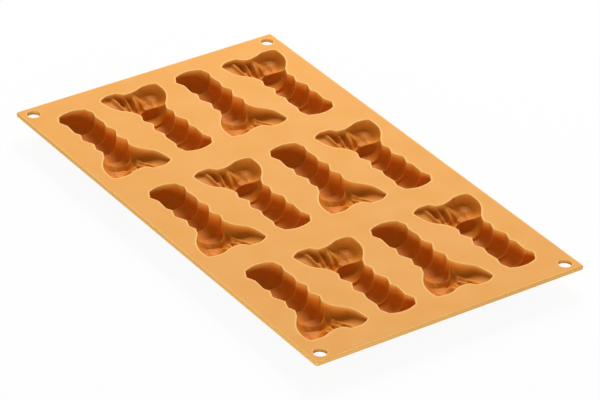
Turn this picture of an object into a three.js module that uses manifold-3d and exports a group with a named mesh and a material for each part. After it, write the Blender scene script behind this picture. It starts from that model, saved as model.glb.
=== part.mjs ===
// Flexible silicone mould: one sheet with twelve langoustine tail cavities, whose cups hang under it.
// Millimetres, +Z up. The origin is under the middle of the sheet, on the surface that the cups stand on.
import * as THREE from "three";
import { mergeVertices } from "three/addons/utils/BufferGeometryUtils.js";
import Module from "manifold-3d";

const wasm = await Module();
wasm.setup();

// Sheet
const SHEET_THICKNESS = 2.5;
const SHEET_CORNER_RADIUS = 1.5;
const END_MARGIN = 16; // from the outer rows' tails to the short edges
const SIDE_MARGIN = 8.5; // from the outer rows' fans to the long edges
const HANG_HOLE_DIAMETER = 7.5;
const HANG_HOLE_INSET = 7.4; // from each edge to the hole's middle

// Layout: three columns of four tails, whose rows point left and right in turn
const COLUMN_GAP = 17; // plain sheet between the outer rows' tails
const INNER_ROW_SPREAD = 2.5; // the two middle rows stand this much further apart
const INNER_ROW_OFFSET = 20; // from the sheet's middle line to the middle rows
const OUTER_ROW_PITCH = 40.9; // from the middle rows to the outer rows
const LAYOUT_SHIFT = -1; // tails and webs stand this far off the sheet's middle
const INNER_ROW_SHIFT = -0.8; // and the two middle rows this much further
const WEB_WIDTH = 8; // of each strip that bends

// Cup walls
const SIDE_WALL = 2;
const FLOOR_THICKNESS = 1.8; // under the fan, and under the deepest point of the shell
const FOOT_CROWN = 2; // how far the cup's round outside would reach below its flat foot

// One tail, seen from above: x runs from the fan to the head end, y from its right side to its left.
// A station is a line across the tail: where it meets the right and the left rim, as a place along the tail
// and a reach from its middle line, how deep its floor lies, and how far its middle bows towards the fan.
const FAN_STATIONS = [
  { right: [-36, 20.3], left: [-36.3, 17.8], depth: 4.8, bow: 0 },
  { right: [-30, 19.9], left: [-31, 18.1], depth: 5.3, bow: 0.5 },
  { right: [-25, 18.7], left: [-26.8, 17.6], depth: 5.8, bow: 1.2 },
  { right: [-21.6, 17], left: [-23.4, 16.4], depth: 6.2, bow: 2.2 },
  { right: [-18.8, 13.4], left: [-20.6, 14.8], depth: 6.2, bow: 3.6 },
  { right: [-14.6, 10.4], left: [-18.2, 12.9], depth: 6.2, bow: 5 },
];
// Shell: each segment swells to a tip on both rims and ends at a waist, where a raised ring runs across.
// The first station is the foot of the step down from the fan; tips and rings follow in turn up to the head.
const SHELL_STATIONS = [
  { right: [-13, 9.6], left: [-16.2, 10.8], depth: 9.4, bow: 4.4 },
  { right: [-10.2, 9.2], left: [-9.6, 7.7], depth: 9.2, bow: -0.5 },
  { right: [-4.6, 10.9], left: [-5, 9.4], depth: 10.3, bow: -0.5 },
  { right: [1.4, 7.8], left: [0.6, 7.2], depth: 9.8, bow: -0.5 },
  { right: [7.6, 11.1], left: [7.4, 10.6], depth: 11, bow: -0.5 },
  { right: [13.3, 8.4], left: [13.5, 8.3], depth: 10, bow: -0.5 },
  { right: [18.2, 9.8], left: [16.6, 10.1], depth: 10.6, bow: -0.5 },
  { right: [25.9, 8.9], left: [25.7, 9.4], depth: 9.6, bow: -0.5 },
  { right: [30.6, 10.4], left: [30.8, 11.6], depth: 9.4, bow: -1 },
  { right: [36.2, 8.4], left: [36.2, 8.7], depth: 7, bow: -2.2 },
];

// Fan's rear edge, a lobe on each side of a notch: shares of the fan's half width from its right corner to
// its left one, and how far the edge lies ahead of the line between those corners
const REAR_EDGE = [
  [-1, 0], [-0.94, -1.6], [-0.72, -3.6], [-0.37, -3.3], [-0.25, 0.4], [0, 0.9],
  [0.25, -0.2], [0.5, -1.9], [0.75, -1.9], [0.94, -1.2], [1, 0],
];

// Ribs of the fan's floor
const RIB_HEIGHT = 0.6;
const RIB_COUNT = 4; // ribs across the fan

// Shallow shelf in the left lobe's outer corner
const SHELF_DEPTH = 1.7;
const SHELF_FROM = -22; // along the tail, where the floor starts to rise to the shelf
const SHELF_TO = -26;
const SHELF_EDGE = 0.75; // as a share of the fan's half width
const SHELF_SLOPE = 0.25;

// Walls: 2 is round, more is squarer
const SHELL_ROUNDNESS = 2.6;
const FAN_ROUNDNESS = 3.4;
const END_ROUNDNESS = 2.4;
const END_WALL_RUN = 2.4; // length over which the walls at the fan's rear and the head end come down

// Mesh fineness
const ACROSS_OUTSIDE = [-1, -0.9, -0.6, 0, 0.6, 0.9, 1];
const WALL_STEPS = [0.15, 0.5, 1]; // shares of the end walls' run
const WALL_STEPS_OUTSIDE = [0.4, 1];
const HOLE_SEGMENTS = 24;
const CORNER_SEGMENTS = 6;
const CUT_LIFT = 1; // a cutting plug stands this much above the sheet

// Worked out from the driving dimensions
const STATIONS = [...FAN_STATIONS, ...SHELL_STATIONS];
const rear = { ...STATIONS[0], number: 0 };
const head = { ...STATIONS.at(-1), number: STATIONS.length - 1 };
const headReach = head.left[0] - head.bow;
const fanReach = -rear.right[0] - Math.min(...REAR_EDGE.map(([, ahead]) => ahead));
const tailLength = fanReach + headReach;
const columnPitch = tailLength + COLUMN_GAP;
const outerRowOffset = INNER_ROW_OFFSET + OUTER_ROW_PITCH;
const leftFanReach = Math.max(...FAN_STATIONS.map((station) => station.left[1]));
const deepest = Math.max(...STATIONS.map((station) => station.depth));
const sheetLength = 2 * columnPitch + tailLength + 2 * END_MARGIN;
const sheetWidth = 2 * (outerRowOffset + leftFanReach + SIDE_MARGIN);
const totalHeight = deepest + FLOOR_THICKNESS;
const sheetBottom = totalHeight - SHEET_THICKNESS;
const webMiddle = columnPitch / 2 + INNER_ROW_SPREAD / 4; // halfway between the columns, on average

const silicone = new THREE.MeshStandardMaterial({ color: 0xe9a555, roughness: 0.55, metalness: 0 });

const { clamp, lerp } = THREE.MathUtils;

// 0 before the first place, 1 after the second, straight between them
function ramp(x, from, to) {
  return clamp((x - from) / (to - from), 0, 1);
}

// Fall of a rounded wall from its rim, 0, to its foot, 1
function roundFall(distance, roundness) {
  const left = 1 - clamp(distance, 0, 1);
  return (1 - left ** roundness) ** (1 / roundness);
}

function rearAhead(t) {
  const i = clamp(REAR_EDGE.findIndex(([share]) => share >= t), 1, REAR_EDGE.length - 1);
  const [[from, a], [to, b]] = [REAR_EDGE[i - 1], REAR_EDGE[i]];
  return lerp(a, b, ramp(t, from, to));
}

// Station between two neighbours of a table, by its number counted from the rear
function stationAt(table, number) {
  const i = Math.min(Math.floor(number), table.length - 2);
  const [a, b] = [table[i], table[i + 1]];
  const between = (p, q) => lerp(p, q, number - i);
  return {
    number,
    lengthwise: (2 * number) / (table.length - 1) - 1,
    right: [between(a.right[0], b.right[0]), between(a.right[1], b.right[1])],
    left: [between(a.left[0], b.left[0]), between(a.left[1], b.left[1])],
    depth: between(a.depth, b.depth),
    bow: between(a.bow, b.bow),
  };
}

// Point of a station in plan: t runs from -1 at the right rim to 1 at the left one
function planPoint(station, t) {
  const rearShare = clamp(1 - station.number / (FAN_STATIONS.length - 1), 0, 1);
  const x = lerp(station.right[0], station.left[0], (t + 1) / 2) - station.bow * (1 - t * t);
  const reach = t < 0 ? station.right[1] : station.left[1];
  return new THREE.Vector2(x + rearAhead(t) * rearShare ** 2, reach * t);
}

// Fall of the side walls and of both end walls, 0 at the rim and 1 on the floor
function wallFall(station, t) {
  const inShell = ramp(station.number, FAN_STATIONS.length - 1, FAN_STATIONS.length);
  const across = roundFall(1 - Math.abs(t), lerp(FAN_ROUNDNESS, SHELL_ROUNDNESS, inShell));
  const { x } = planPoint(station, t);
  const fromRear = x - planPoint(rear, t).x;
  const fromHead = planPoint(head, t).x - x;
  const ends = Math.min(fromRear, fromHead) / END_WALL_RUN;
  return across * roundFall(ends, END_ROUNDNESS);
}

function cavityDepth(station, t) {
  const inFan = 1 - ramp(station.number, FAN_STATIONS.length - 1, FAN_STATIONS.length);
  const ribs = RIB_HEIGHT * Math.cos(Math.PI * RIB_COUNT * t) * (1 - Math.abs(t)) * inFan;
  const shelf = ramp(t, SHELF_EDGE - SHELF_SLOPE, SHELF_EDGE) * ramp(station.left[0], SHELF_FROM, SHELF_TO);
  return lerp(station.depth - ribs, SHELF_DEPTH, shelf) * wallFall(station, t);
}

// Depth of a cup's outside under the sheet: round walls around a flat foot
function cupDepth(station, t) {
  const foot = station.depth + FLOOR_THICKNESS - SHEET_THICKNESS;
  return Math.min(foot, (foot + FOOT_CROWN) * wallFall(station, t));
}

// A closed solid under a lid: a grid of stations along the tail and points across it
function tailSolid({ stations, across, grow, lidHeight, rimHeight, depth }) {
  const rows = stations.map((station) =>
    across.map((t) => {
      const { x, y } = planPoint(station, t);
      const grownX = x + grow * station.lengthwise;
      return new THREE.Vector3(grownX, y + grow * t, rimHeight - depth(station, t));
    }),
  );
  const last = rows.length - 1;
  const rim = [
    ...rows.map((row) => row[0]),
    ...rows[last].slice(1),
    ...rows.slice(0, last).map((row) => row.at(-1)).reverse(),
    ...rows[0].slice(1, -1).reverse(),
  ];
  const triangles = [];
  for (let i = 0; i < last; i += 1) {
    for (let j = 0; j < across.length - 1; j += 1) {
      const [a, b, c, d] = [rows[i][j], rows[i][j + 1], rows[i + 1][j + 1], rows[i + 1][j]];
      triangles.push(a, b, c, a, c, d);
    }
  }
  const lid = rim.map((p) => new THREE.Vector3(p.x, p.y, lidHeight));
  if (lidHeight > rimHeight) {
    rim.forEach((p, i) => {
      const k = (i + 1) % rim.length;
      triangles.push(p, rim[k], lid[k], p, lid[k], lid[i]);
    });
  }
  for (const [a, b, c] of THREE.ShapeUtils.triangulateShape(lid, [])) {
    triangles.push(lid[a], lid[b], lid[c]);
  }
  return new THREE.BufferGeometry().setFromPoints(triangles);
}

// A table's stations, with more of them within the end walls' run
function stationsOf(table, steps) {
  const last = table.length - 1;
  const rearGap = table[1].right[0] - table[0].right[0];
  const headGap = table[last].left[0] - table[last - 1].left[0];
  const fromRear = steps.map((share) => (share * END_WALL_RUN) / rearGap);
  const fromHead = steps.map((share) => last - (share * END_WALL_RUN) / headGap);
  const numbers = [...table.keys(), ...fromRear, ...fromHead].sort((a, b) => a - b);
  return numbers.map((number) => stationAt(table, number));
}

function toSolid(geometry) {
  geometry.deleteAttribute("normal");
  geometry.deleteAttribute("uv");
  const merged = mergeVertices(geometry);
  const triVerts = Uint32Array.from(merged.index.array);
  const vertProperties = merged.attributes.position.array;
  return new wasm.Manifold(new wasm.Mesh({ numProp: 3, vertProperties, triVerts }));
}

function toMesh(name, solid) {
  const { vertProperties, triVerts } = solid.getMesh();
  const geometry = new THREE.BufferGeometry();
  geometry.setAttribute("position", new THREE.BufferAttribute(vertProperties, 3));
  geometry.setIndex(new THREE.BufferAttribute(triVerts, 1));
  geometry.computeVertexNormals();
  const mesh = new THREE.Mesh(geometry, silicone);
  mesh.name = name;
  return mesh;
}

// Solid that leaves one cavity behind
function tailPlug() {
  return toSolid(tailSolid({
    stations: stationsOf(STATIONS, WALL_STEPS),
    across: REAR_EDGE.map(([share]) => share),
    grow: 0,
    rimHeight: totalHeight,
    lidHeight: totalHeight + CUT_LIFT,
    depth: cavityDepth,
  }));
}

// Smooth outside of one cup, from the sheet's underside to its foot: it runs from tip to tip of the shell
function cupBlank() {
  const tips = SHELL_STATIONS.slice(0, -1).filter((_, i) => i % 2 === 0);
  const shell = tips.map((tip) => ({ ...tip, depth: deepest }));
  return toSolid(tailSolid({
    stations: stationsOf([...FAN_STATIONS, ...shell, head], WALL_STEPS_OUTSIDE),
    across: ACROSS_OUTSIDE,
    grow: SIDE_WALL,
    rimHeight: sheetBottom,
    lidHeight: sheetBottom,
    depth: cupDepth,
  }));
}

function arcPoints(x, y, radius, from, to, segments) {
  return new THREE.EllipseCurve(x, y, radius, radius, from, to).getPoints(segments);
}

// Plain piece of sheet between two lines across it; its corners are round where it ends the sheet
function sheetPiece(fromX, toX) {
  const half = sheetWidth / 2;
  const corners = [[fromX, -half], [toX, -half], [toX, half], [fromX, half]];
  const outline = corners.flatMap(([x, y], i) => {
    if (Math.abs(x) < sheetLength / 2) return [new THREE.Vector2(x, y)];
    const insetX = x - Math.sign(x) * SHEET_CORNER_RADIUS;
    const insetY = y - Math.sign(y) * SHEET_CORNER_RADIUS;
    const start = Math.PI + (i * Math.PI) / 2;
    return arcPoints(insetX, insetY, SHEET_CORNER_RADIUS, start, start + Math.PI / 2, CORNER_SEGMENTS);
  });
  const shape = new THREE.Shape(outline);
  for (const [x, y] of corners.filter(([cornerX]) => Math.abs(cornerX) === sheetLength / 2)) {
    const holeX = x - Math.sign(x) * HANG_HOLE_INSET;
    const holeY = y - Math.sign(y) * HANG_HOLE_INSET;
    const rim = arcPoints(holeX, holeY, HANG_HOLE_DIAMETER / 2, 0, 2 * Math.PI, HOLE_SEGMENTS);
    shape.holes.push(new THREE.Path(rim.slice(0, -1)));
  }
  const plate = new THREE.ExtrudeGeometry(shape, { depth: SHEET_THICKNESS, bevelEnabled: false });
  return toSolid(plate.translate(0, 0, sheetBottom));
}

// Places of the four tails of one column, from the far row to the near one
function columnPlaces(column) {
  const rows = [outerRowOffset, INNER_ROW_OFFSET, -INNER_ROW_OFFSET, -outerRowOffset];
  return rows.map((y, i) => {
    const inner = Math.abs(y) === INNER_ROW_OFFSET;
    const pitch = columnPitch + (inner ? INNER_ROW_SPREAD : 0);
    const shift = LAYOUT_SHIFT + (inner ? INNER_ROW_SHIFT : 0);
    return { x: shift + column * pitch, y, turned: i % 2 === 1 };
  });
}

const plug = tailPlug();
const cup = cupBlank().subtract(plug);

// One rigid section of the sheet with its four cups
function section(name, column, fromX, toX) {
  const group = new THREE.Group();
  let panel = sheetPiece(fromX, toX);
  columnPlaces(column).forEach((place, i) => {
    const turn = place.turned ? 180 : 0;
    panel = panel.subtract(plug.rotate([0, 0, turn]).translate([place.x, place.y, 0]));
    const hanging = toMesh(`${name}_cup_${i + 1}`, cup.rotate([0, 0, turn]));
    hanging.position.set(place.x, place.y, 0);
    group.add(hanging);
  });
  group.add(toMesh(`${name}_panel`, panel));
  return group;
}

const sheetEnd = sheetLength / 2;
const [leftWeb, rightWeb] = [-webMiddle, webMiddle].map((x) => {
  const middle = LAYOUT_SHIFT + x;
  return { from: middle - WEB_WIDTH / 2, to: middle + WEB_WIDTH / 2 };
});
const mould = new THREE.Group();
mould.add(section("left", -1, -sheetEnd, leftWeb.from));
mould.add(toMesh("left_web", sheetPiece(leftWeb.from, leftWeb.to)));
mould.add(section("centre", 0, leftWeb.to, rightWeb.from));
mould.add(toMesh("right_web", sheetPiece(rightWeb.from, rightWeb.to)));
mould.add(section("right", 1, rightWeb.to, sheetEnd));

export default mould;
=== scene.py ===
"""Flexible silicone mould with twelve langoustine tail cavities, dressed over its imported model."""
import math

import bmesh
import bpy
import numpy as np
from bpy.props import FloatProperty, FloatVectorProperty, IntProperty, PointerProperty
from mathutils import Matrix, Vector
from mathutils.geometry import delaunay_2d_cdt


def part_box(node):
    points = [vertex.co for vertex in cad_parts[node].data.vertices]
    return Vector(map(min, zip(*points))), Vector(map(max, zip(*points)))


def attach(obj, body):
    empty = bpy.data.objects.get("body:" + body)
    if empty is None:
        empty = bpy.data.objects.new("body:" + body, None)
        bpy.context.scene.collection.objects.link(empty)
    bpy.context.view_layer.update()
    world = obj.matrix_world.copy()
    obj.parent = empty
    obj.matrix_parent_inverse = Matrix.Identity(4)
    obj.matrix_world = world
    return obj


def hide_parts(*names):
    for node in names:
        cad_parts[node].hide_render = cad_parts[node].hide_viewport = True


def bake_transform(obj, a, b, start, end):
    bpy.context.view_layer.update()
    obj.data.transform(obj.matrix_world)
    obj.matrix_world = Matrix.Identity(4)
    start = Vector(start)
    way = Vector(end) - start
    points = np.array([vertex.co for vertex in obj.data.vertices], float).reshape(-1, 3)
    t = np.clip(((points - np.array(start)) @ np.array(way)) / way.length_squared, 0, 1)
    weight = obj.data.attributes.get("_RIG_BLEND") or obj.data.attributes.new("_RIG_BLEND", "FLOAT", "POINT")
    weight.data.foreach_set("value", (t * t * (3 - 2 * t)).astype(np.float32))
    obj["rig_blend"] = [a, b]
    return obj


bl_info = {
    "name": "Langoustine Mould",
    "version": (1, 0, 0),
    "blender": (4, 5, 0),
    "location": "3D View > Sidebar > Mould",
    "description": "Builds a silicone sheet mould with langoustine tail cavities on its packed frame",
    "category": "Object",
}

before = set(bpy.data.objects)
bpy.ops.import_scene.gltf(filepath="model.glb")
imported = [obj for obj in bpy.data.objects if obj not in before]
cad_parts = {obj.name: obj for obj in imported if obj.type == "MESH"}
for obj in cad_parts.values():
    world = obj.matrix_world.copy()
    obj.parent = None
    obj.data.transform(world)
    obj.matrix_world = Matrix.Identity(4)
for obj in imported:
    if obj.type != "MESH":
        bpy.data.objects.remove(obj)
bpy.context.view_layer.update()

MM = 0.001
PANEL_LOW, PANEL_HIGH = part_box("centre_panel")
_, LEFT_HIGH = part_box("left_panel")
RIGHT_LOW, RIGHT_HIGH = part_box("right_panel")
SHEET_UNDER, SHEET_TOP = PANEL_LOW[2], PANEL_HIGH[2]
HALF_LENGTH, HALF_WIDTH = RIGHT_HIGH[0], PANEL_HIGH[1]
WEB_INNER = {-1: PANEL_LOW[0], 1: PANEL_HIGH[0]}
WEB_OUTER = {-1: LEFT_HIGH[0], 1: RIGHT_LOW[0]}

# One tail in millimetres, from the fan's rear to the head end: where a line across it meets the right and
# the left rim (place along the tail, reach from its middle line), its floor's depth, and its bow
FAN_ROWS = (
    (-36.0, 20.3, -36.3, 17.8, 4.4, 0.0),
    (-28.6, 19.6, -31.0, 18.1, 5.2, 0.5),
    (-22.6, 17.7, -26.8, 17.6, 6.0, 1.8),
    (-19.6, 14.4, -23.4, 16.4, 6.6, 3.6),
    (-15.2, 10.7, -20.2, 14.6, 6.9, 5.4),
    (-10.8, 9.2, -16.4, 11.6, 5.2, 7.0),
)
SHELL_ROWS = (
    (-10.2, 9.15, -14.8, 10.2, 9.9, 6.2),
    (-9.2, 9.0, -9.2, 7.7, 9.7, 0.2),
    (-4.6, 10.9, -5.0, 9.4, 10.6, 0.0),
    (1.4, 7.8, 0.6, 7.2, 10.3, 0.0),
    (7.6, 11.1, 7.4, 10.6, 11.2, 0.0),
    (13.3, 8.4, 13.5, 8.3, 10.3, -0.2),
    (18.2, 9.8, 16.6, 10.1, 10.9, -0.4),
    (25.9, 8.9, 25.7, 9.4, 9.8, -0.5),
    (30.6, 10.4, 30.8, 11.6, 9.7, -1.0),
    (36.2, 8.4, 36.2, 8.7, 7.0, -2.2),
)
RIGHT_X, RIGHT_REACH, LEFT_X, LEFT_REACH, DEPTH, BOW = range(6)
FAN_END = len(FAN_ROWS) - 1
FIRST_RING = len(FAN_ROWS) + 1
TAILS = 4  # in a column

# Easing of the rows' corners: how many rows it reaches to either side, and its shares with their weights
FAN_EASE, SHELL_EASE = 0.5, 0.1
EASE_WEIGHTS = ((-1, 1), (-0.5, 2), (0, 3), (0.5, 2), (1, 1))

# Fan's rear edge: shares of the fan's half width from its right corner to its left one, and how far the edge
# lies ahead of the line between those corners, in millimetres; then the share that eases its corners
REAR_EDGE = (
    (-1, 0), (-0.94, -1.6), (-0.72, -3.6), (-0.37, -3.3), (-0.25, 0.4), (0, 0.9),
    (0.25, -0.2), (0.5, -1.9), (0.75, -1.9), (0.94, -1.2), (1, 0),
)
REAR_EASE = 0.04

# Floor of a shell segment: share over which it drops ahead of a ring, and the curve of its climb to the next
RING_DROP, RING_CLIMB = 0.08, 0.6

# Ribs and, with a height below 0, hollows of the fan: height as a share of the tallest rib's, half width in
# millimetres, and the line each follows
FAN_RIBS = (
    (0.9, 1.2, ((-38, -4.0), (-33, -5.0), (-27, -6.2))),
    (1.0, 1.3, ((-38, 3.4), (-34.7, 0.6), (-30.8, -0.8), (-25.5, -2.4))),
    (0.6, 1.0, ((-33.5, 2.4), (-29, 2.3), (-24.5, 2.8))),
    (0.35, 1.1, ((-29, 10.5), (-24, 8.6), (-20.5, 7.2))),
    (0.8, 1.2, ((-15, -10.2), (-20.5, -7.8), (-25, -5.6))),
    (0.8, 1.4, ((-22, -8.6), (-25, -9.4), (-29, -10), (-37, -11))),
    (-1.0, 1.3, ((-37, -6.6), (-31, -7.8))),
    (-1.1, 1.3, ((-37, -0.8), (-32.4, -2.9), (-26.5, -4.2))),
    (-0.5, 1.4, ((-32, 7.4), (-26.5, 5.8))),
    (-0.7, 1.9, ((-17, -6.4), (-20, -3.6), (-23.3, -0.4), (-26, 3.0))),
)

# Rows over which the fan's ribs, its climb to the rear edge and its left lobe's dish fade out, and the
# millimetres left of the middle line over which the fan turns into that lobe
RIB_FADE, CLIMB_FADE, DISH_FADE = (FAN_END - 0.9, FAN_END), (0, 3), (FAN_END - 2.6, FAN_END)
LOBE_SIDE = (1.5, 6)
DISH_STEEPNESS = 8

# Walls: run of the end walls in millimetres, and roundness of the right and the left walls
CAVITY_WALLS = (2.4, 3.2, 2.3)
CUP_WALLS = (2.4, 2.8, 2.8)
END_ROUNDNESS = 2.4

# How far a cup's round outside would reach below its flat foot, and over how much it turns into the foot, in
# millimetres
CUP_CROWN, FOOT_BLEND = 2, 0.5

# Flat strip round a rim: how far it reaches out of the rim's round, and how strong its painted highlight is
# there
FLANGE = ((0.5 * MM, 0.7), (0.9 * MM, 0.0))

# How far along a rim its outward directions are evened, with how many samples, and the weight of the middle
# one, which falls off by 1 to the ends
NORMAL_REACH, NORMAL_SAMPLES, NORMAL_WEIGHT = 2 * MM, 31, 1.05

# Depth in millimetres at which the painted shade in a cavity is darkest and the curve towards it, and the
# painted highlight on raised edges with the rows over which it fades
PAINTED_SHADE_DEPTH, PAINTED_SHADE_CURVE = 8, 0.2
PAINTED_EDGE_HIGHLIGHT, PAINTED_EDGE_HIGHLIGHT_FADE = 0.3, (0.03, 0.12)

# Mesh: rows close to each line of a table, a cup's rows and columns, steps of rounds, points of loops, how
# the sheet is filled, how near two points are welded, and the angle from which an edge shows sharp
CLOSE_ROWS = (0.03, 0.06, 0.13)
CUP_ROWS_BETWEEN, CUP_COLUMNS = 5, 26
RIM_STEPS, EDGE_STEPS, CORNER_STEPS = 4, 5, 6
HOLE_POINTS, WEB_LINES, CENTRE_LINES = 48, 13, 9
FILL_INSIDE, FILL_TOLERANCE = 1, 1e-9
WELD = 0.002 * MM
SHARP_ANGLE = math.radians(60)

# Stage: place and size of each lamp, the floor's half size and share of even white, and the sensor's width
KEY_PLACE, KEY_SIZE = (-1.53, 1.3, 1.47), 1.1
FILL_PLACE, FILL_SIZE = (1.2, -1.2, 0.2), 0.36
FLOOR_SIZE, FLOOR_WHITE = 8, 0.94
SENSOR_WIDTH = 36


class SheetSizes(bpy.types.PropertyGroup):
    """Sizes of the plain sheet"""

    edge_round: FloatProperty(
        name="Edge round", description="Radius along the sheet's outer edges", default=0.7 * MM,
        unit="LENGTH")
    rim_round: FloatProperty(
        name="Rim round", description="Radius along the cavities' rims", default=0.35 * MM, unit="LENGTH")
    under_round: FloatProperty(
        name="Under round", description="Hollow where a cup leaves the sheet", default=0.8 * MM,
        unit="LENGTH")
    corner_radius: FloatProperty(
        name="Corner radius", description="Radius of the sheet's corners", default=1.5 * MM, unit="LENGTH")
    hole_diameter: FloatProperty(
        name="Hole diameter", description="Hanging holes", default=7.5 * MM, unit="LENGTH")
    hole_inset: FloatProperty(
        name="Hole inset", description="From each edge to a hanging hole", default=7.4 * MM, unit="LENGTH")


class TailSizes(bpy.types.PropertyGroup):
    """Layout and relief of the tails"""

    pitch: FloatProperty(
        name="Column pitch", description="Between the columns of tails", default=95 * MM, unit="LENGTH")
    spread: FloatProperty(
        name="Spread", description="How much further the inner rows stand", default=2.5 * MM, unit="LENGTH")
    shift: FloatProperty(
        name="Shift", description="How far all tails stand off the sheet's middle", default=-1 * MM,
        unit="LENGTH")
    inner_shift: FloatProperty(
        name="Inner shift", description="How much further off the inner rows stand", default=-0.8 * MM,
        unit="LENGTH")
    inner_row: FloatProperty(
        name="Inner row", description="From the middle line to the inner rows", default=20 * MM,
        unit="LENGTH")
    outer_row: FloatProperty(
        name="Outer row", description="From the middle line to the outer rows", default=60.9 * MM,
        unit="LENGTH")
    side_wall: FloatProperty(
        name="Side wall", description="Thickness of the cups' walls", default=2 * MM, unit="LENGTH")
    floor: FloatProperty(
        name="Floor", description="Thickness of the cups' floors", default=1.6 * MM, unit="LENGTH")
    rib_height: FloatProperty(
        name="Rib height", description="Tallest rib on the fan's floor", default=1.5 * MM, unit="LENGTH")
    rear_climb: FloatProperty(
        name="Rear climb", description="Rise of the fan's floor to its rear edge, outside the left lobe",
        default=1.5 * MM, unit="LENGTH")
    dish_depth: FloatProperty(
        name="Dish depth", description="Middle of the left lobe's dish", default=6.3 * MM, unit="LENGTH")
    dish_reach: FloatProperty(
        name="Dish reach", description="From the left lobe's rim to the dish's middle", default=17 * MM,
        unit="LENGTH")
    rows_between: IntProperty(
        name="Rows between", description="Mesh rows between two lines of the table", default=11, min=3)
    columns_across: IntProperty(
        name="Columns across", description="Mesh columns across a tail", default=72, min=8)


class SiliconeLook(bpy.types.PropertyGroup):
    """Finish of the silicone, with its painted shade and painted highlights"""

    colour: FloatVectorProperty(
        name="Colour", description="Amber of the sheet", subtype="COLOR", size=3, default=(0.86, 0.39, 0.075))
    cloud_colour: FloatVectorProperty(
        name="Cloud colour", description="Deeper amber of its clouds", subtype="COLOR", size=3,
        default=(0.84, 0.375, 0.068))
    # Painted shade: a darker colour mixed in with depth to darken the cavities' hollows
    painted_shade_colour: FloatVectorProperty(
        name="Painted shade colour", description="Brown amber in the depth of the cavities", subtype="COLOR", size=3,
        default=(0.68, 0.2, 0.011))
    # Painted highlight: a pale colour mixed in along rims, flanges and the sheet's edges
    painted_highlight_colour: FloatVectorProperty(
        name="Painted highlight colour", description="Pale amber of thin rims", subtype="COLOR", size=3,
        default=(0.97, 0.54, 0.155))
    roughness: FloatProperty(
        name="Roughness", description="Satin of the surface", default=0.55, min=0, max=1, subtype="FACTOR")
    roughness_spread: FloatProperty(
        name="Roughness spread", description="How much the clouds change the satin", default=0.2, min=0)
    cloud_scale: FloatProperty(
        name="Cloud scale", description="Clouds to the metre", default=60, min=0)
    grain_size: FloatProperty(
        name="Grain size", description="Fine grain left by the steel mould", default=0.35 * MM, unit="LENGTH")
    grain_depth: FloatProperty(
        name="Grain depth", description="Depth of that grain", default=0.05 * MM, unit="LENGTH")
    grain_strength: FloatProperty(
        name="Grain strength", description="How strongly it shows", default=0.15, min=0, max=1,
        subtype="FACTOR")
    ior: FloatProperty(name="IOR", description="Index of refraction of silicone", default=1.41, min=1)
    specular: FloatProperty(
        name="Specular", description="Level of the shine", default=0.06, min=0, max=1, subtype="FACTOR")


class StageLook(bpy.types.PropertyGroup):
    """Floor, light and camera"""

    floor_colour: FloatVectorProperty(
        name="Floor colour", description="Pale floor", subtype="COLOR", size=3, default=(0.9, 0.9, 0.9))
    key_power: FloatProperty(
        name="Key power", description="Soft lamp from behind", default=78, min=0, unit="POWER")
    fill_power: FloatProperty(
        name="Fill power", description="Low lamp by the camera", default=14, min=0, unit="POWER")
    sky_strength: FloatProperty(name="Sky strength", description="Even light all round", default=0.2, min=0)
    azimuth: FloatProperty(
        name="Azimuth", description="Camera's turn about the sheet", default=math.radians(54.468),
        subtype="ANGLE")
    elevation: FloatProperty(
        name="Elevation", description="Camera's height angle", default=math.radians(31.655), subtype="ANGLE")
    roll: FloatProperty(
        name="Roll", description="Camera's roll", default=math.radians(1.873), subtype="ANGLE")
    distance: FloatProperty(
        name="Distance", description="From the camera to the sheet's middle", default=2.1089, unit="LENGTH")
    lens: FloatProperty(name="Lens", description="Focal length", default=229.06, subtype="DISTANCE_CAMERA")
    offset: FloatVectorProperty(
        name="Offset", description="Sheet's middle against the picture's", size=2,
        default=(-0.0045, 0.00734), unit="LENGTH")


def ramp(values, start, end):
    """0 before start, 1 after end, straight between them."""
    return np.clip((values - start) / (end - start), 0, 1)


def smooth(values, start, end):
    """0 before start, 1 after end, with a soft slope between them."""
    share = ramp(values, start, end)
    return share * share * (3 - 2 * share)


def round_fall(distance, roundness):
    """Fall of a rounded wall from its rim, 0, to its foot, 1."""
    return (1 - (1 - np.clip(distance, 0, 1)) ** roundness) ** (1 / roundness)


def eased(rows, column, numbers):
    """A column of the table between its rows, with eased corners: softly in the fan, tightly in the shell."""
    reach = FAN_EASE - (FAN_EASE - SHELL_EASE) * ramp(numbers, FAN_END - 1, FIRST_RING)
    values = np.array([row[column] for row in rows])
    total = np.zeros_like(numbers)
    for share, weight in EASE_WEIGHTS:
        total += weight * np.interp(numbers + share * reach, np.arange(len(rows)), values)
    return total / sum(weight for _, weight in EASE_WEIGHTS)


def shell_depth(numbers):
    """Floor along the tail: ahead of each raised ring it drops at once, then climbs slowly to the next."""
    rows = FAN_ROWS + SHELL_ROWS
    depth = np.interp(numbers, np.arange(len(rows)), [row[DEPTH] for row in rows])
    for ring in range(FIRST_RING, len(rows) - 2, 2):
        here, groove, following = (rows[ring + i][DEPTH] for i in range(3))
        share = np.clip((numbers - ring) / 2, 0, 1)
        swell = smooth(share, 0, RING_DROP) * (2 * (1 - share)) ** RING_CLIMB
        crest = here + (following - here) * share
        within = (numbers >= ring) & (numbers <= ring + 2)
        depth = np.where(within, crest + (groove - (here + following) / 2) * swell, depth)
    return depth


def distance_to(x, y, line):
    """Distance from places to a line of straight pieces."""
    nearest = np.full_like(x, np.inf)
    for (start_x, start_y), (end_x, end_y) in zip(line, line[1:]):
        run_x, run_y = end_x - start_x, end_y - start_y
        share = ((x - start_x) * run_x + (y - start_y) * run_y) / (run_x ** 2 + run_y ** 2)
        share = np.clip(share, 0, 1)
        nearest = np.minimum(nearest, np.hypot(x - start_x - share * run_x, y - start_y - share * run_y))
    return nearest


def fan_relief(x, y):
    """Height of the fan's ribs over its floor, as a share of the tallest rib's."""
    return sum(height * np.exp(-(distance_to(x, y, line) / width) ** 2) for height, width, line in FAN_RIBS)


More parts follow.
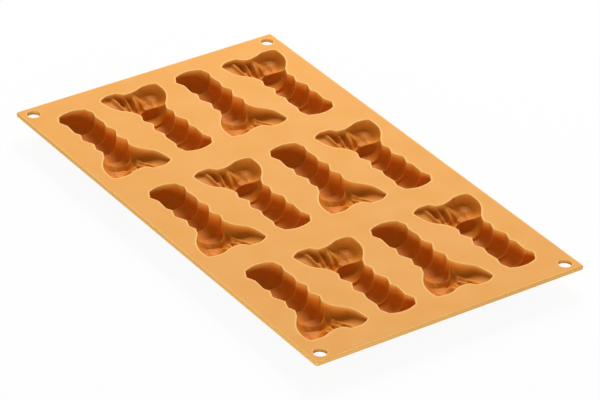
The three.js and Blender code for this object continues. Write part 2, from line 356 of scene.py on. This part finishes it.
class TailGrid:
    """Grid over one tail: rows along it, columns across from the right rim to the left one."""

    def __init__(self, rows, numbers, across, grow):
        self.numbers, self.across = np.meshgrid(numbers, across, indexing="ij")
        self.rows = rows
        self.last = len(rows) - 1
        t = self.across
        self.x = self.plan_x(self.numbers)
        reach = np.where(t < 0, eased(rows, RIGHT_REACH, self.numbers), eased(rows, LEFT_REACH, self.numbers))
        self.y = reach * t + grow * t
        self.behind = self.x - self.plan_x(np.zeros_like(t))
        self.ahead = self.plan_x(np.full_like(t, self.last)) - self.x
        self.x = self.x + grow * (2 * self.numbers / self.last - 1)

    def plan_x(self, numbers):
        """Places along the tail of points on rows, with the rows' bow and the fan's rear edge."""
        t = self.across
        right, left = eased(self.rows, RIGHT_X, numbers), eased(self.rows, LEFT_X, numbers)
        rear_share = np.clip(1 - numbers / FAN_END, 0, 1)
        shares, ahead = zip(*REAR_EDGE)
        steps = (-REAR_EASE, 0, REAR_EASE)
        rear = sum(np.interp(t + step, shares, ahead) for step in steps) / len(steps) * rear_share ** 2
        return right + (left - right) * (t + 1) / 2 - eased(self.rows, BOW, numbers) * (1 - t * t) + rear

    def fall(self, run, right_roundness, left_roundness):
        """Fall of the side walls and both end walls, 0 at the rim and 1 on the floor."""
        t = self.across
        side = np.where(t < 0, round_fall(1 + t, right_roundness), round_fall(1 - t, left_roundness))
        return side * round_fall(np.minimum(self.behind, self.ahead) / run, END_ROUNDNESS)

    def rim(self):
        """Indices of the rim's points, anticlockwise from the rear right corner."""
        rows, columns = self.x.shape
        index = np.arange(rows * columns).reshape(rows, columns)
        sides = (index[:-1, 0], index[-1, :-1], index[:0:-1, -1], index[0, :0:-1])
        return np.concatenate(sides)


def cavity_floor(grid, sizes):
    """Depth of a cavity's floor in millimetres, before its walls are cut."""
    x, y, numbers = grid.x, grid.y, grid.numbers
    in_fan = 1 - smooth(numbers, *RIB_FADE)
    climb = (1 - smooth(numbers, *CLIMB_FADE)) * (1 - smooth(y, *LOBE_SIDE)) * sizes.rear_climb / MM
    return shell_depth(numbers) - fan_relief(x, y) * in_fan * sizes.rib_height / MM - climb


def lobe_dish(grid, sizes, floor, depth):
    """Depth of a cavity once its left lobe drops steeply from its rim into a dish."""
    from_side = np.maximum((1 - grid.across) * eased(grid.rows, LEFT_REACH, grid.numbers), 1e-3)
    from_rear = np.maximum(grid.behind, 1e-3)
    # The smaller of both distances, rounded where they are alike
    from_rim = (from_side ** -3 + from_rear ** -3) ** (-1 / 3)
    left_over = 1 - np.clip(from_rim * MM / sizes.dish_reach, 0, 1)
    dish = sizes.dish_depth / MM * (1 - left_over ** DISH_STEEPNESS)
    within = smooth(grid.y, *LOBE_SIDE) * (1 - smooth(grid.numbers, *DISH_FADE))
    return depth + (np.minimum(floor, dish) - depth) * within


def row_numbers(last, between):
    """Row numbers along a tail, closer together at both ends and just ahead of each line of the table."""
    shares = np.linspace(0, 1, between + 1)[:-1]
    numbers = [i + share for i in range(last) for share in (*shares, *CLOSE_ROWS)]
    return np.unique(np.round(numbers + [last - share for share in CLOSE_ROWS] + [last], 4))


def cavity_grid(sheet, sizes):
    """Grid over one cavity, and its heights."""
    rows = FAN_ROWS + SHELL_ROWS
    even = np.linspace(-1, 1, sizes.columns_across)
    across = (even + np.sin(even * math.pi / 2)) / 2
    grid = TailGrid(rows, row_numbers(len(rows) - 1, sizes.rows_between), across, 0)
    rim = sheet.rim_round / MM
    floor = cavity_floor(grid, sizes) - rim
    depth = lobe_dish(grid, sizes, floor, floor * grid.fall(*CAVITY_WALLS))
    return grid, SHEET_TOP - (rim + depth) * MM


def cup_grid(sheet, sizes):
    """Grid over the outside of one cup, and its heights, without the rings and the fan's raised front."""
    deepest = max(row[DEPTH] for row in SHELL_ROWS)
    tips = [(*row[:DEPTH], deepest, row[BOW]) for row in SHELL_ROWS[:-1:2]]
    front = (*FAN_ROWS[-1][:DEPTH], FAN_ROWS[-2][DEPTH], FAN_ROWS[-1][BOW])
    rows = [*FAN_ROWS[:-1], front, *tips, SHELL_ROWS[-1]]
    across = np.sin(np.linspace(-math.pi / 2, math.pi / 2, CUP_COLUMNS))
    grid = TailGrid(rows, row_numbers(len(rows) - 1, CUP_ROWS_BETWEEN), across, sizes.side_wall / MM)
    depth = np.interp(grid.numbers, np.arange(len(rows)), [row[DEPTH] for row in rows])
    hollow = sheet.under_round / MM
    foot = depth + sizes.floor / MM - (SHEET_TOP - SHEET_UNDER) / MM
    round_walls = hollow + (foot + CUP_CROWN - hollow) * grid.fall(*CUP_WALLS)
    blend = np.logaddexp(-round_walls / FOOT_BLEND, -foot / FOOT_BLEND)
    floor = np.maximum(-FOOT_BLEND * blend, hollow)
    return grid, SHEET_UNDER - np.minimum(floor, foot) * MM


def loop_normals(points, reach):
    """Outward directions along an anticlockwise loop, evened over a reach so that they don't cross."""
    step = np.roll(points, -1, axis=0) - points
    normal = np.stack((step[:, 1], -step[:, 0]), axis=1) / np.linalg.norm(step, axis=1, keepdims=True)
    along = np.concatenate(([0], np.cumsum(np.linalg.norm(step, axis=1))))
    total = np.zeros_like(points)
    for share in np.linspace(-1, 1, NORMAL_SAMPLES):
        place = (along[:-1] + share * reach) % along[-1]
        total += (NORMAL_WEIGHT - abs(share)) * normal[np.searchsorted(along, place, side="right") - 1]
    return total / np.linalg.norm(total, axis=1, keepdims=True)


def quarter(radius):
    """Steps of a quarter round from a wall to a flat: how far out of the wall, and how far from the flat."""
    angles = np.linspace(math.pi / 2, 0, RIM_STEPS + 1)[1:]
    return [(radius * (1 - math.sin(a)), radius * (1 - math.cos(a))) for a in angles]


def new_surface():
    """A mesh whose points carry painted shade by how deep in a cavity they lie and painted highlight by how
    near a lit rim.
    """
    bm = bmesh.new()
    bm.verts.layers.float.new("hollow")
    bm.verts.layers.float.new("rim")
    return bm


def new_ring(bm, places, height, rim):
    """Points at one height and one strength of painted highlight."""
    layer = bm.verts.layers.float["rim"]
    ring = [bm.verts.new((x, y, height)) for x, y in places]
    for vert in ring:
        vert[layer] = rim
    return ring


def strip(bm, rings, closed):
    """Faces between rows of vertices."""
    for inner, outer in zip(rings, rings[1:]):
        count = len(inner)
        for i in range(count if closed else count - 1):
            k = (i + 1) % count
            bm.faces.new((inner[i], inner[k], outer[k], outer[i]))


def add_tail_surface(bm, grid, z, hollow, pale, profile):
    """A grid with rounded strips along its rim; returns the outermost loop's places."""
    x, y = grid.x * MM, grid.y * MM
    verts = [bm.verts.new(p) for p in zip(x.ravel(), y.ravel(), z.ravel())]
    # The hollow attribute holds each point's painted shade, the rim attribute its painted highlight
    for name, values in (("hollow", hollow), ("rim", pale)):
        layer = bm.verts.layers.float[name]
        for vert, value in zip(verts, values.ravel()):
            vert[layer] = value
    rows, columns = x.shape
    for i in range(rows - 1):
        for j in range(columns - 1):
            a = i * columns + j
            bm.faces.new((verts[a], verts[a + columns], verts[a + columns + 1], verts[a + 1]))
    edge = grid.rim()
    rings = [[verts[i] for i in edge]]
    plan = np.array([(x.flat[i], y.flat[i]) for i in edge])
    normals = loop_normals(plan, NORMAL_REACH)
    for out, height, rim in profile:
        rings.append(new_ring(bm, plan + normals * out, height, rim))
    strip(bm, rings, True)
    return plan + normals * profile[-1][0]


def painted_ridge_highlight(grid):
    """Painted highlight on the raised edges across a cavity: the fan's front edge and the rings."""
    edges = (FAN_END, *range(FIRST_RING + 2, len(grid.rows) - 2, 2))
    nearest = np.min([np.abs(grid.numbers - edge) for edge in edges], axis=0)
    return PAINTED_EDGE_HIGHLIGHT * (1 - ramp(nearest, *PAINTED_EDGE_HIGHLIGHT_FADE))


def tail_tile(sheet, sizes):
    """One tail at the origin: its cavity and its cup, with the loops that meet the sheet above and below."""
    bm = new_surface()
    grid, z = cavity_grid(sheet, sizes)
    radius = sheet.rim_round
    # Painted highlight on the rim's round, fading out across its flat flange
    profile = [(out, SHEET_TOP - down, 1) for out, down in quarter(radius)]
    profile += [(radius + out, SHEET_TOP, rim) for out, rim in FLANGE]
    # Painted shade, deepening with depth below the sheet's top
    hollow = ramp((SHEET_TOP - z) / MM, radius / MM, PAINTED_SHADE_DEPTH) ** PAINTED_SHADE_CURVE
    top_loop = add_tail_surface(bm, grid, z, hollow, painted_ridge_highlight(grid), profile)
    grid, z = cup_grid(sheet, sizes)
    radius = sheet.under_round
    profile = [(out, SHEET_UNDER - down, 0) for out, down in quarter(radius)]
    profile.append((radius + FLANGE[0][0], SHEET_UNDER, 0))
    plain = np.zeros_like(z)
    under_loop = add_tail_surface(bm, grid, z, plain, plain, profile)
    mesh = bpy.data.meshes.new("tail")
    bm.to_mesh(mesh)
    bm.free()
    tile = bpy.data.objects.new("tail", mesh)
    bpy.context.scene.collection.objects.link(tile)
    return tile, top_loop, under_loop


def column_places(column, sizes):
    """Where a column's outer and inner rows stand along the sheet."""
    outer_x = sizes.shift + column * sizes.pitch
    return outer_x, outer_x + sizes.inner_shift + column * sizes.spread


def tail_places(column, sizes):
    """Middles of one column's tails, from the far row to the near one, and whether they are turned."""
    outer_x, inner_x = column_places(column, sizes)
    return (
        (outer_x, sizes.outer_row, False), (inner_x, sizes.inner_row, True),
        (inner_x, -sizes.inner_row, False), (outer_x, -sizes.outer_row, True),
    )


def is_inside(point, loop):
    """Whether a point lies within a closed loop of places."""
    start, end = loop, np.roll(loop, -1, axis=0)
    crossed = (start[:, 1] > point[1]) != (end[:, 1] > point[1])
    start, end = start[crossed], end[crossed]
    share = (point[1] - start[:, 1]) / (end[:, 1] - start[:, 1])
    return np.count_nonzero(start[:, 0] + share * (end[:, 0] - start[:, 0]) > point[0]) % 2 == 1


def fill_sheet(bm, loops):
    """Triangles between the first loop of vertices and the openings that the other loops leave."""
    verts = [vert for loop in loops for vert in loop]
    edges, first = [], 0
    for loop in loops:
        edges += [(first + i, first + (i + 1) % len(loop)) for i in range(len(loop))]
        first += len(loop)
    openings = [np.array([vert.co.xy for vert in loop]) for loop in loops[1:]]
    corners = [vert.co.xy for vert in verts]
    filled = delaunay_2d_cdt(corners, edges, [], FILL_INSIDE, FILL_TOLERANCE)
    places, _, faces, origins, _, _ = filled
    for place, origin in zip(places, origins):
        if not origin:
            raise RuntimeError(f"two loops of the sheet cross at {place.x / MM:.2f}, {place.y / MM:.2f}")
    for face in faces:
        triangle = [verts[origins[i][0]] for i in face]
        middle = sum((vert.co.xy for vert in triangle), Vector((0, 0))) / 3
        if not any(is_inside(middle, opening) for opening in openings):
            bm.faces.new(triangle)


def edge_profile(radius):
    """Sheet's edge from its top to its underside: how far in, the height, and the strength of the painted
    highlight.
    """
    angles = np.linspace(0, math.pi / 2, EDGE_STEPS + 1)
    # Half of a cavity's flange, so that it stays within the round of the sheet's corners
    upper = [(radius + out / 2, SHEET_TOP, rim) for out, rim in reversed(FLANGE)]
    upper += [(radius * (1 - math.sin(a)), SHEET_TOP - radius * (1 - math.cos(a)), 1) for a in angles]
    middle = SHEET_TOP + SHEET_UNDER
    # The lower half mirrors the upper one with half its painted highlight
    return upper + [(inset, middle - height, rim / 2) for inset, height, rim in reversed(upper)]


def border_strip(bm, points, normals, profile):
    """Rounded strip along a run of the sheet's border; returns its rows."""
    rings = []
    for inset, height, rim in profile:
        places = [(p[0] - n[0] * inset, p[1] - n[1] * inset) for p, n in zip(points, normals)]
        rings.append(new_ring(bm, places, height, rim))
    strip(bm, rings, False)
    return rings


def web_lines(side):
    """Lines across the web from its outer edge to its inner one, which bend with it."""
    return list(np.linspace(WEB_OUTER[side], WEB_INNER[side], WEB_LINES))


def end_border(side, sheet):
    """Border of an end section, along its near edge, round the end and back, and its web's count of lines."""
    lines = web_lines(side)[::-1]
    near = [((x, -HALF_WIDTH), (0, -1)) for x in lines]
    radius = sheet.corner_radius
    middle_x = side * (HALF_LENGTH - radius)
    corner = []
    for a in np.linspace(-math.pi / 2, 0, CORNER_STEPS + 1):
        normal = (side * math.cos(a), math.sin(a))
        corner.append(((middle_x + radius * normal[0], -HALF_WIDTH + radius + radius * normal[1]), normal))
    far = [((p[0], -p[1]), (n[0], -n[1])) for p, n in reversed(near + corner)]
    return near + corner + far, len(lines)


def cap(bm, one_edge, first, other_edge, last):
    """Closes a section at its seam, between a point along one edge and a point along the other."""
    bm.faces.new([ring[first] for ring in one_edge] + [ring[last] for ring in reversed(other_edge)])


def hanging_hole(bm, x, y, sheet):
    """Round hole, its rims half as round as the sheet's edges; returns its loops above and below."""
    radius = sheet.hole_diameter / 2
    turns = np.linspace(0, 2 * math.pi, HOLE_POINTS + 1)[:-1]
    rings = []
    for inset, height, rim in edge_profile(0.5 * sheet.edge_round):
        places = [(x + (radius + inset) * math.cos(a), y + (radius + inset) * math.sin(a)) for a in turns]
        rings.append(new_ring(bm, places, height, rim))
    strip(bm, rings, True)
    return rings[0], rings[-1]


def end_outline(bm, side, sheet, profile):
    """Edge, web and hanging holes of an end section; returns the loops to fill between, above and below."""
    border, web = end_border(side, sheet)
    points, normals = zip(*border)
    rings = border_strip(bm, points, normals, profile)
    cap(bm, rings, 0, rings, -1)
    for ring in (rings[0], rings[-1]):
        for i in range(web - 1):
            bm.faces.new((ring[i], ring[i + 1], ring[-2 - i], ring[-1 - i]))
    top, under = ([ring[web - 1:len(ring) - web + 1]] for ring in (rings[0], rings[-1]))
    hole_x, hole_y = side * (HALF_LENGTH - sheet.hole_inset), HALF_WIDTH - sheet.hole_inset
    for sign in (-1, 1):
        above, below = hanging_hole(bm, hole_x, sign * hole_y, sheet)
        top.append(above)
        under.append(below)
    return top, under


def centre_outline(bm, profile):
    """Long edges and seams of the centre section; returns the loops to fill between, above and below."""
    lines = np.linspace(WEB_INNER[-1], WEB_INNER[1], CENTRE_LINES)
    near = border_strip(bm, [(x, -HALF_WIDTH) for x in lines], [(0, -1)] * len(lines), profile)
    far = border_strip(bm, [(x, HALF_WIDTH) for x in lines[::-1]], [(0, 1)] * len(lines), profile)
    cap(bm, near, -1, far, 0)
    cap(bm, far, -1, near, 0)
    return [near[0] + far[0]], [near[-1] + far[-1]]


def placed(loop, place, height):
    """A tail's loop at its place in the sheet."""
    x, y, turned = place
    sign = -1 if turned else 1
    return [(x + sign * p[0], y + sign * p[1], height) for p in loop]


def sheet_plate(name, column, sheet, sizes, top_loop, under_loop):
    """Sheet of one section with openings for its tails; end sections carry their web."""
    bm = new_surface()
    profile = edge_profile(sheet.edge_round)
    if column:
        top, under = end_outline(bm, column, sheet, profile)
    else:
        top, under = centre_outline(bm, profile)
    for place in tail_places(column, sizes):
        top.append([bm.verts.new(p) for p in placed(top_loop, place, SHEET_TOP)])
        under.append([bm.verts.new(p) for p in placed(under_loop, place, SHEET_UNDER)])
    fill_sheet(bm, top)
    fill_sheet(bm, under)
    mesh = bpy.data.meshes.new(name)
    bm.to_mesh(mesh)
    bm.free()
    plate = bpy.data.objects.new(name, mesh)
    bpy.context.scene.collection.objects.link(plate)
    return plate


def math_node(nodes, links, operation, first, second):
    """A Math node on sockets or plain numbers; returns its output."""
    node = nodes.new("ShaderNodeMath")
    node.operation = operation
    for socket, value in zip(node.inputs, (first, second)):
        if isinstance(value, bpy.types.NodeSocket):
            links.new(value, socket)
        else:
            socket.default_value = value
    return node.outputs[0]


def column_tree():
    """Geometry Nodes that set a column's four tails into its sheet, every second one turned."""
    tree = bpy.data.node_groups.new("Column of tails", "GeometryNodeTree")
    kinds = {
        "Sheet": "Geometry", "Tail": "Object", "Outer X": "Float", "Inner X": "Float", "Outer row": "Float",
        "Inner row": "Float", "Weld": "Float", "Silicone": "Material",
    }
    for name, kind in kinds.items():
        tree.interface.new_socket(name, in_out="INPUT", socket_type=f"NodeSocket{kind}")
    tree.interface.new_socket("Section", in_out="OUTPUT", socket_type="NodeSocketGeometry")
    nodes, links = tree.nodes, tree.links
    inputs = nodes.new("NodeGroupInput").outputs
    output = nodes.new("NodeGroupOutput").inputs
    index = nodes.new("GeometryNodeInputIndex").outputs[0]
    turned = math_node(nodes, links, "MODULO", index, 2.0)
    from_middle = math_node(nodes, links, "SUBTRACT", index, (TAILS - 1) / 2)
    distance = math_node(nodes, links, "ABSOLUTE", from_middle, 0.0)
    is_outer = math_node(nodes, links, "GREATER_THAN", distance, 1.0)
    towards_far = math_node(nodes, links, "MULTIPLY", from_middle, -1.0)
    side = math_node(nodes, links, "SIGN", towards_far, 0.0)

    def outer_or_inner(outer, inner):
        more = math_node(nodes, links, "SUBTRACT", inputs[outer], inputs[inner])
        added = math_node(nodes, links, "MULTIPLY", more, is_outer)
        return math_node(nodes, links, "ADD", inputs[inner], added)

    points = nodes.new("GeometryNodePoints")
    points.inputs["Count"].default_value = TAILS
    place = nodes.new("ShaderNodeCombineXYZ")
    links.new(outer_or_inner("Outer X", "Inner X"), place.inputs["X"])
    row = math_node(nodes, links, "MULTIPLY", outer_or_inner("Outer row", "Inner row"), side)
    links.new(row, place.inputs["Y"])
    links.new(place.outputs[0], points.inputs["Position"])
    turn = nodes.new("ShaderNodeCombineXYZ")
    links.new(math_node(nodes, links, "MULTIPLY", turned, math.pi), turn.inputs["Z"])
    rotation = nodes.new("FunctionNodeEulerToRotation")
    links.new(turn.outputs[0], rotation.inputs[0])
    tail = nodes.new("GeometryNodeObjectInfo")
    links.new(inputs["Tail"], tail.inputs["Object"])
    set_in = nodes.new("GeometryNodeInstanceOnPoints")
    links.new(points.outputs[0], set_in.inputs["Points"])
    links.new(tail.outputs["Geometry"], set_in.inputs["Instance"])
    links.new(rotation.outputs[0], set_in.inputs["Rotation"])
    realize = nodes.new("GeometryNodeRealizeInstances")
    links.new(set_in.outputs[0], realize.inputs[0])
    join = nodes.new("GeometryNodeJoinGeometry")
    links.new(realize.outputs[0], join.inputs[0])
    links.new(inputs["Sheet"], join.inputs[0])
    weld = nodes.new("GeometryNodeMergeByDistance")
    links.new(join.outputs[0], weld.inputs["Geometry"])
    links.new(inputs["Weld"], weld.inputs["Distance"])
    finish = nodes.new("GeometryNodeSetMaterial")
    links.new(weld.outputs[0], finish.inputs["Geometry"])
    links.new(inputs["Silicone"], finish.inputs["Material"])
    links.new(finish.outputs[0], output[0])
    return tree


def set_inputs(modifier, values):
    """Sets a tree's named inputs by their sockets' identifiers."""
    for item in modifier.node_group.interface.items_tree:
        if item.in_out == "INPUT" and item.name in values:
            modifier[item.identifier] = values[item.name]


def made_plain(obj):
    """Turns a piece with live nodes into a plain closed mesh with outward faces."""
    depsgraph = bpy.context.evaluated_depsgraph_get()
    mesh = bpy.data.meshes.new_from_object(obj.evaluated_get(depsgraph))
    obj.modifiers.clear()
    obj.data = mesh
    bm = bmesh.new()
    bm.from_mesh(mesh)
    open_edges = [edge for edge in bm.edges if not edge.is_manifold]
    if open_edges:
        places = [tuple(round(c / MM, 3) for c in vert.co) for vert in open_edges[0].verts]
        raise RuntimeError(f"{obj.name} has {len(open_edges)} open edges, the first at {places}")
    bmesh.ops.recalc_face_normals(bm, faces=bm.faces)
    for face in bm.faces:
        face.smooth = True
    bm.to_mesh(mesh)
    bm.free()
    mesh.set_sharp_from_angle(angle=SHARP_ANGLE)


def mixed(nodes, links, share, first, second):
    """A colour between two others; returns its output."""
    mix = nodes.new("ShaderNodeMix")
    mix.data_type = "RGBA"
    links.new(share, mix.inputs["Factor"])
    links.new(first, mix.inputs["A"])
    links.new(second, mix.inputs["B"])
    return mix.outputs["Result"]


def skin_group():
    """Shader group of a moulded material: its colour with clouds, painted shade in hollows and painted
    highlights on rims, and its grain.
    """
    group = bpy.data.node_groups.new("Moulded skin", "ShaderNodeTree")
    add = group.interface.new_socket
    for name in ("Colour", "Cloud colour", "Painted shade colour", "Painted highlight colour"):
        add(name, in_out="INPUT", socket_type="NodeSocketColor")
    for name in ("Cloud scale", "Grain scale", "Roughness", "Roughness spread"):
        add(name, in_out="INPUT", socket_type="NodeSocketFloat")
    for name, kind in (("Colour", "Color"), ("Roughness", "Float"), ("Grain", "Float")):
        add(name, in_out="OUTPUT", socket_type=f"NodeSocket{kind}")
    nodes, links = group.nodes, group.links
    inputs = nodes.new("NodeGroupInput").outputs
    output = nodes.new("NodeGroupOutput").inputs
    place = nodes.new("ShaderNodeTexCoord").outputs["Object"]
    noises = []
    for scale, detail in (("Cloud scale", 4), ("Grain scale", 2)):
        noise = nodes.new("ShaderNodeTexNoise")
        links.new(place, noise.inputs["Vector"])
        links.new(inputs[scale], noise.inputs["Scale"])
        noise.inputs["Detail"].default_value = detail
        noises.append(noise.outputs[0])
    clouds, grain = noises
    colour = mixed(nodes, links, clouds, inputs["Colour"], inputs["Cloud colour"])
    # Painted shade by depth, then painted highlight along rims and raised edges
    for name, tint in (("hollow", "Painted shade colour"), ("rim", "Painted highlight colour")):
        attribute = nodes.new("ShaderNodeAttribute")
        attribute.attribute_name = name
        colour = mixed(nodes, links, attribute.outputs["Fac"], colour, inputs[tint])
    links.new(colour, output["Colour"])
    either_way = math_node(nodes, links, "SUBTRACT", clouds, 0.5)
    spread = math_node(nodes, links, "MULTIPLY", either_way, inputs["Roughness spread"])
    links.new(math_node(nodes, links, "ADD", inputs["Roughness"], spread), output["Roughness"])
    links.new(grain, output["Grain"])
    return group


def silicone_material(look):
    """Satin amber silicone with faint clouds, painted shade in its hollows, painted highlights on its rims
    and a fine grain.
    """
    material = bpy.data.materials.new("amber silicone")
    material.use_nodes = True
    nodes, links = material.node_tree.nodes, material.node_tree.links
    shader = nodes["Principled BSDF"]
    skin = nodes.new("ShaderNodeGroup")
    skin.node_tree = skin_group()
    values = {
        "Colour": (*look.colour, 1),
        "Cloud colour": (*look.cloud_colour, 1),
        "Painted shade colour": (*look.painted_shade_colour, 1),
        "Painted highlight colour": (*look.painted_highlight_colour, 1),
        "Cloud scale": look.cloud_scale,
        "Grain scale": 1 / look.grain_size,
        "Roughness": look.roughness,
        "Roughness spread": look.roughness_spread,
    }
    for name, value in values.items():
        skin.inputs[name].default_value = value
    bump = nodes.new("ShaderNodeBump")
    bump.inputs["Strength"].default_value = look.grain_strength
    bump.inputs["Distance"].default_value = look.grain_depth
    links.new(skin.outputs["Grain"], bump.inputs["Height"])
    links.new(bump.outputs[0], shader.inputs["Normal"])
    links.new(skin.outputs["Colour"], shader.inputs["Base Color"])
    links.new(skin.outputs["Roughness"], shader.inputs["Roughness"])
    shader.inputs["IOR"].default_value = look.ior
    shader.inputs["Specular IOR Level"].default_value = look.specular
    return material


class MOULD_OT_sections(bpy.types.Operator):
    """Build the mould's three sections, each with its sheet, web and cups"""

    bl_idname = "mould.sections"
    bl_label = "Sections"

    def execute(self, context):
        scene = context.scene
        sheet, sizes = scene.mould_sheet, scene.mould_tails
        material = silicone_material(scene.mould_silicone)
        tail, top_loop, under_loop = tail_tile(sheet, sizes)
        tree = column_tree()
        for name, column in (("left", -1), ("centre", 0), ("right", 1)):
            outer_x, inner_x = column_places(column, sizes)
            piece = sheet_plate(f"{name}_section", column, sheet, sizes, top_loop, under_loop)
            modifier = piece.modifiers.new("Column of tails", "NODES")
            modifier.node_group = tree
            set_inputs(modifier, {
                "Tail": tail,
                "Outer X": outer_x,
                "Inner X": inner_x,
                "Outer row": sizes.outer_row,
                "Inner row": sizes.inner_row,
                "Weld": WELD,
                "Silicone": material,
            })
            made_plain(piece)
            nodes = [f"{name}_panel"] + [f"{name}_cup_{i}" for i in range(1, TAILS + 1)]
            if column:
                nodes.append(f"{name}_web")
                start, end = (WEB_INNER[column], 0, SHEET_TOP), (WEB_OUTER[column], 0, SHEET_TOP)
                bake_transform(piece, "centre", name, start=start, end=end)
            else:
                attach(piece, "centre")
            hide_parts(*nodes)
        bpy.data.objects.remove(tail)
        return {"FINISHED"}


def white_for_camera(nodes, links, lit, share):
    """Adds even white to a lit shader where the camera, a reflection or a see-through surface shows it."""
    rays = nodes.new("ShaderNodeLightPath").outputs
    seen = math_node(nodes, links, "MAXIMUM", rays["Is Camera Ray"], rays["Is Glossy Ray"])
    seen = math_node(nodes, links, "MAXIMUM", seen, rays["Is Transmission Ray"])
    white = nodes.new("ShaderNodeEmission")
    mix = nodes.new("ShaderNodeMixShader")
    links.new(math_node(nodes, links, "MULTIPLY", seen, share), mix.inputs[0])
    links.new(lit, mix.inputs[1])
    links.new(white.outputs[0], mix.inputs[2])
    return mix.outputs[0]


class MOULD_OT_stage(bpy.types.Operator):
    """Build the floor, the light and the camera"""

    bl_idname = "mould.stage"
    bl_label = "Stage"

    def execute(self, context):
        scene = context.scene
        look = scene.mould_stage
        self.make_floor(scene, look)
        self.make_sky(scene, look)
        self.make_lamp(scene, "key", look.key_power, KEY_PLACE, KEY_SIZE)
        self.make_lamp(scene, "fill", look.fill_power, FILL_PLACE, FILL_SIZE)
        self.make_camera(scene, look)
        scene.view_settings.view_transform = "Standard"
        return {"FINISHED"}

    def make_floor(self, scene, look):
        bm = bmesh.new()
        bmesh.ops.create_grid(bm, x_segments=1, y_segments=1, size=FLOOR_SIZE)
        mesh = bpy.data.meshes.new("floor")
        bm.to_mesh(mesh)
        bm.free()
        floor = bpy.data.objects.new("floor", mesh)
        scene.collection.objects.link(floor)
        material = bpy.data.materials.new("pale floor")
        material.use_nodes = True
        nodes, links = material.node_tree.nodes, material.node_tree.links
        shader = nodes["Principled BSDF"]
        shader.inputs["Base Color"].default_value = (*look.floor_colour, 1)
        shader.inputs["Roughness"].default_value = 1
        shader.inputs["Specular IOR Level"].default_value = 0
        seen = white_for_camera(nodes, links, shader.outputs[0], FLOOR_WHITE)
        links.new(seen, nodes["Material Output"].inputs["Surface"])
        mesh.materials.append(material)

    def make_sky(self, scene, look):
        world = bpy.data.worlds.new("studio")
        world.use_nodes = True
        nodes, links = world.node_tree.nodes, world.node_tree.links
        sky = nodes["Background"]
        sky.inputs["Color"].default_value = (1, 1, 1, 1)
        sky.inputs["Strength"].default_value = look.sky_strength
        seen = white_for_camera(nodes, links, sky.outputs[0], 1)
        links.new(seen, nodes["World Output"].inputs["Surface"])
        scene.world = world

    def make_lamp(self, scene, name, power, place, size):
        lamp = bpy.data.lights.new(name, "AREA")
        lamp.energy = power
        lamp.size = size
        obj = bpy.data.objects.new(name, lamp)
        towards = Vector((0, 0, SHEET_TOP)) - Vector(place)
        obj.matrix_world = Matrix.Translation(place) @ towards.to_track_quat("-Z", "Y").to_matrix().to_4x4()
        scene.collection.objects.link(obj)

    def make_camera(self, scene, look):
        camera = bpy.data.cameras.new("camera")
        camera.lens = look.lens
        camera.sensor_width = SENSOR_WIDTH
        camera.sensor_fit = "HORIZONTAL"
        right = Vector((math.cos(look.azimuth), math.sin(look.azimuth), 0))
        away = Vector((-math.sin(look.azimuth), math.cos(look.azimuth), 0))
        back = -away * math.cos(look.elevation) + Vector((0, 0, math.sin(look.elevation)))
        up = back.cross(right)
        turned_right = right * math.cos(look.roll) + up * math.sin(look.roll)
        turned_up = up * math.cos(look.roll) - right * math.sin(look.roll)
        middle = Vector((0, 0, SHEET_TOP))
        place = middle + back * look.distance - turned_right * look.offset[0] - turned_up * look.offset[1]
        axes = Matrix((turned_right, turned_up, back)).transposed().to_4x4()
        obj = bpy.data.objects.new("camera", camera)
        obj.matrix_world = Matrix.Translation(place) @ axes
        scene.collection.objects.link(obj)
        scene.camera = obj


class MOULD_PT_panel(bpy.types.Panel):
    """Sizes and finish of the mould"""

    bl_idname = "MOULD_PT_panel"
    bl_label = "Langoustine mould"
    bl_space_type = "VIEW_3D"
    bl_region_type = "UI"
    bl_category = "Mould"

    def draw(self, context):
        scene = context.scene
        for group in (scene.mould_sheet, scene.mould_tails, scene.mould_silicone, scene.mould_stage):
            box = self.layout.box()
            for name in group.bl_rna.properties.keys():
                if name not in {"rna_type", "name"}:
                    box.prop(group, name)
        self.layout.operator(MOULD_OT_sections.bl_idname)
        self.layout.operator(MOULD_OT_stage.bl_idname)


CLASSES = (
    SheetSizes, TailSizes, SiliconeLook, StageLook, MOULD_OT_sections, MOULD_OT_stage, MOULD_PT_panel,
)


def register():
    for cls in CLASSES:
        bpy.utils.register_class(cls)
    bpy.types.Scene.mould_sheet = PointerProperty(type=SheetSizes)
    bpy.types.Scene.mould_tails = PointerProperty(type=TailSizes)
    bpy.types.Scene.mould_silicone = PointerProperty(type=SiliconeLook)
    bpy.types.Scene.mould_stage = PointerProperty(type=StageLook)


def unregister():
    del bpy.types.Scene.mould_stage
    del bpy.types.Scene.mould_silicone
    del bpy.types.Scene.mould_tails
    del bpy.types.Scene.mould_sheet
    for cls in reversed(CLASSES):
        bpy.utils.unregister_class(cls)


def main():
    register()
    bpy.ops.mould.stage()
    bpy.ops.mould.sections()


if __name__ == "__main__":
    main()
